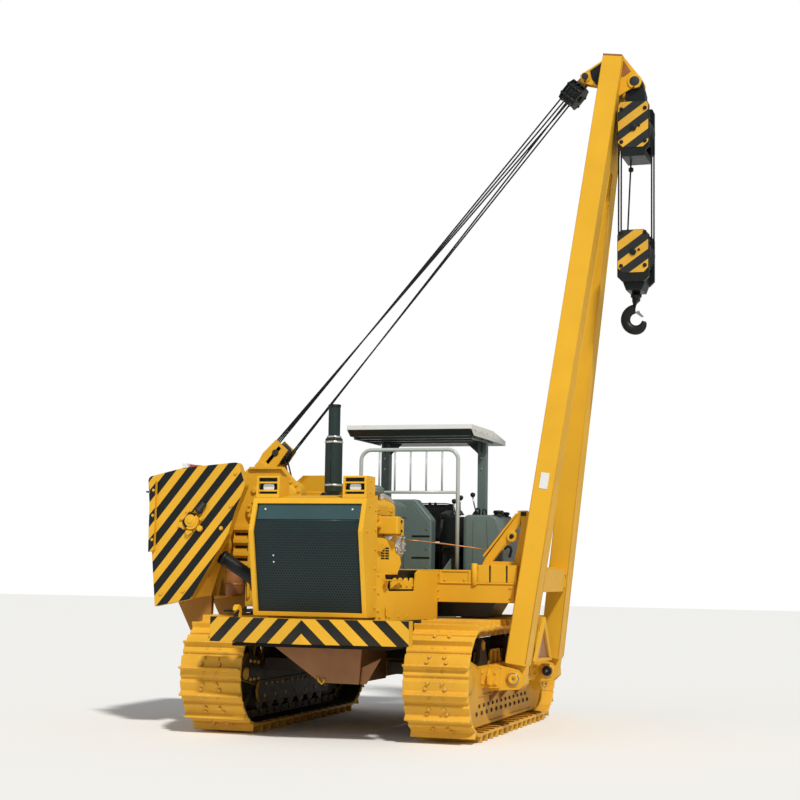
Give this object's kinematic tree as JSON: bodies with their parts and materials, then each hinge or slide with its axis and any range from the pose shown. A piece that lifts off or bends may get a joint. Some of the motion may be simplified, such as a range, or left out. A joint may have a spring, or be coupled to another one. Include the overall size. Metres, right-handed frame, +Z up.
{
  "type": "crawler pipelayer",
  "caption": "Crawler tractor with a side boom, load hook tackle, winch and swing-out counterweight, for laying pipe",
  "frame": {"origin": "on the ground at the middle of the whole machine's box", "axes": "+X to the machine's front, +Y to its left where the boom is, +Z up"},
  "size_m": [4.504, 4.9289, 6.9085],
  "materials": {
    "paint_yellow": "semi-gloss machine enamel",
    "paint_black": "semi-gloss black enamel",
    "paint_grey": "satin grey enamel",
    "paint_pale": "satin pale grey enamel",
    "track_yellow": "worn enamel on steel",
    "bare_steel": "machined steel, greased",
    "rope_steel": "greased wire rope",
    "cast_parts": "dark cast surface",
    "seat_vinyl": "black vinyl"
  },
  "bodies": {
    "chassis": {"air_intake": "paint_yellow", "belly_guard": "paint_yellow", "boom_mount": "paint_yellow", "canopy_posts": "paint_grey", "canopy_roof": "paint_pale", "carrier_rollers": "cast_parts", "control_levers": "paint_black", "counterweight_mount": "paint_yellow", "cross_bolster": "paint_yellow", "cross_shafts": "cast_parts", "dash_cowl": "paint_grey", "drawbar": "paint_yellow", "engine_block": "cast_parts", "engine_hood": "paint_yellow", "exhaust_stack": "paint_black", "final_drives": "paint_yellow", "front_bumper": "paint_yellow", "guard_rail": "paint_grey", "idlers": "cast_parts", "lamp_housings": "paint_yellow", "main_frame": "paint_yellow", "pivot_pins": "bare_steel", "platform_deck": "paint_grey", "radiator_grille": "paint_black", "radiator_guard": "paint_yellow", "roller_guards": "paint_yellow", "seat_back": "seat_vinyl", "seat_base": "paint_black", "seat_cushion": "seat_vinyl", "side_panels": "paint_yellow", "side_tank_left": "paint_grey", "sprockets": "cast_parts", "track_frames": "paint_yellow", "track_left": "track_yellow", "track_right": "track_yellow", "track_rollers": "cast_parts", "winch_drums": "paint_yellow", "winch_frame": "paint_yellow"},
    "boom": {"boom_frame": "paint_yellow", "boom_cross_member": "paint_yellow", "boom_head_pins": "bare_steel"},
    "line_block": {"line_block_cheeks": "paint_yellow", "line_block_sheaves": "cast_parts", "boom_ropes": "rope_steel"},
    "head_block": {"head_block_cheeks": "paint_black", "head_block_sheaves": "cast_parts"},
    "upper_block": {"upper_block": "paint_black", "upper_block_sheaves": "cast_parts", "load_ropes": "rope_steel"},
    "hook_block": {"hook_block": "paint_black", "hook_block_sheaves": "cast_parts"},
    "hook": {"hook": "paint_black"},
    "counterweight": {"counterweight_face": "paint_yellow", "counterweight_slabs": "paint_yellow", "counterweight_arms": "paint_yellow"},
    "ram_barrel": {"ram_barrel": "paint_yellow"},
    "ram_rod": {"ram_rod": "bare_steel"}
  },
  "joints": [
    {"name": "boom_luff", "type": "hinge", "parent": "chassis", "child": "boom", "pos_m": [-0.122, 1.225, 0.57], "axis": [-1, 0, 0], "range_deg": [-2, 45]},
    {"name": "boom_line_swing", "type": "hinge", "parent": "chassis", "child": "line_block", "pos_m": [-0.122, -1.735, 2.66], "axis": [-1, 0, 0], "range_deg": [-2.11, 36.81]},
    {"name": "boom_line_reach", "type": "slide", "parent": "line_block", "child": "head_block", "axis": [0, 0.6508, 0.7592], "range_m": [-0.1366, 2.6424], "deforming": ["boom_ropes"]},
    {"name": "load_block_hang", "type": "hinge", "parent": "boom", "child": "upper_block", "pos_m": [-0.122, 2.26558, 6.61994], "axis": [-1, 0, 0], "range_deg": [-46, 3]},
    {"name": "hook_hoist", "type": "slide", "parent": "upper_block", "child": "hook_block", "axis": [0, 0, 1], "range_m": [-1.2, 0.65], "deforming": ["load_ropes"]},
    {"name": "hook_swivel", "type": "hinge", "parent": "hook_block", "child": "hook", "pos_m": [-0.122, 2.26558, 4.41994], "axis": [0, 0, 1], "continuous": true},
    {"name": "counterweight_swing", "type": "hinge", "parent": "chassis", "child": "counterweight", "pos_m": [0.528, -1.955, 0.9], "axis": [1, 0, 0], "range_deg": [0, 40]},
    {"name": "ram_swing", "type": "hinge", "parent": "chassis", "child": "ram_barrel", "pos_m": [1.228, -1.035, 1.33], "axis": [1, 0, 0], "range_deg": [-0.5, 15.57]},
    {"name": "ram_reach", "type": "slide", "parent": "ram_barrel", "child": "ram_rod", "axis": [0, -0.8542, 0.5199], "range_m": [-0.01, 0.5554]}
  ],
  "couplings": [
    {"joint": "boom_line_swing", "follows": "boom_luff", "ratio": 0.807},
    {"joint": "boom_line_reach", "follows": "boom_luff", "m_per_rad": 3.339},
    {"joint": "load_block_hang", "follows": "boom_luff", "ratio": -1},
    {"joint": "ram_swing", "follows": "counterweight_swing", "ratio": 0.3767},
    {"joint": "ram_reach", "follows": "counterweight_swing", "m_per_rad": 0.7812}
  ]
}
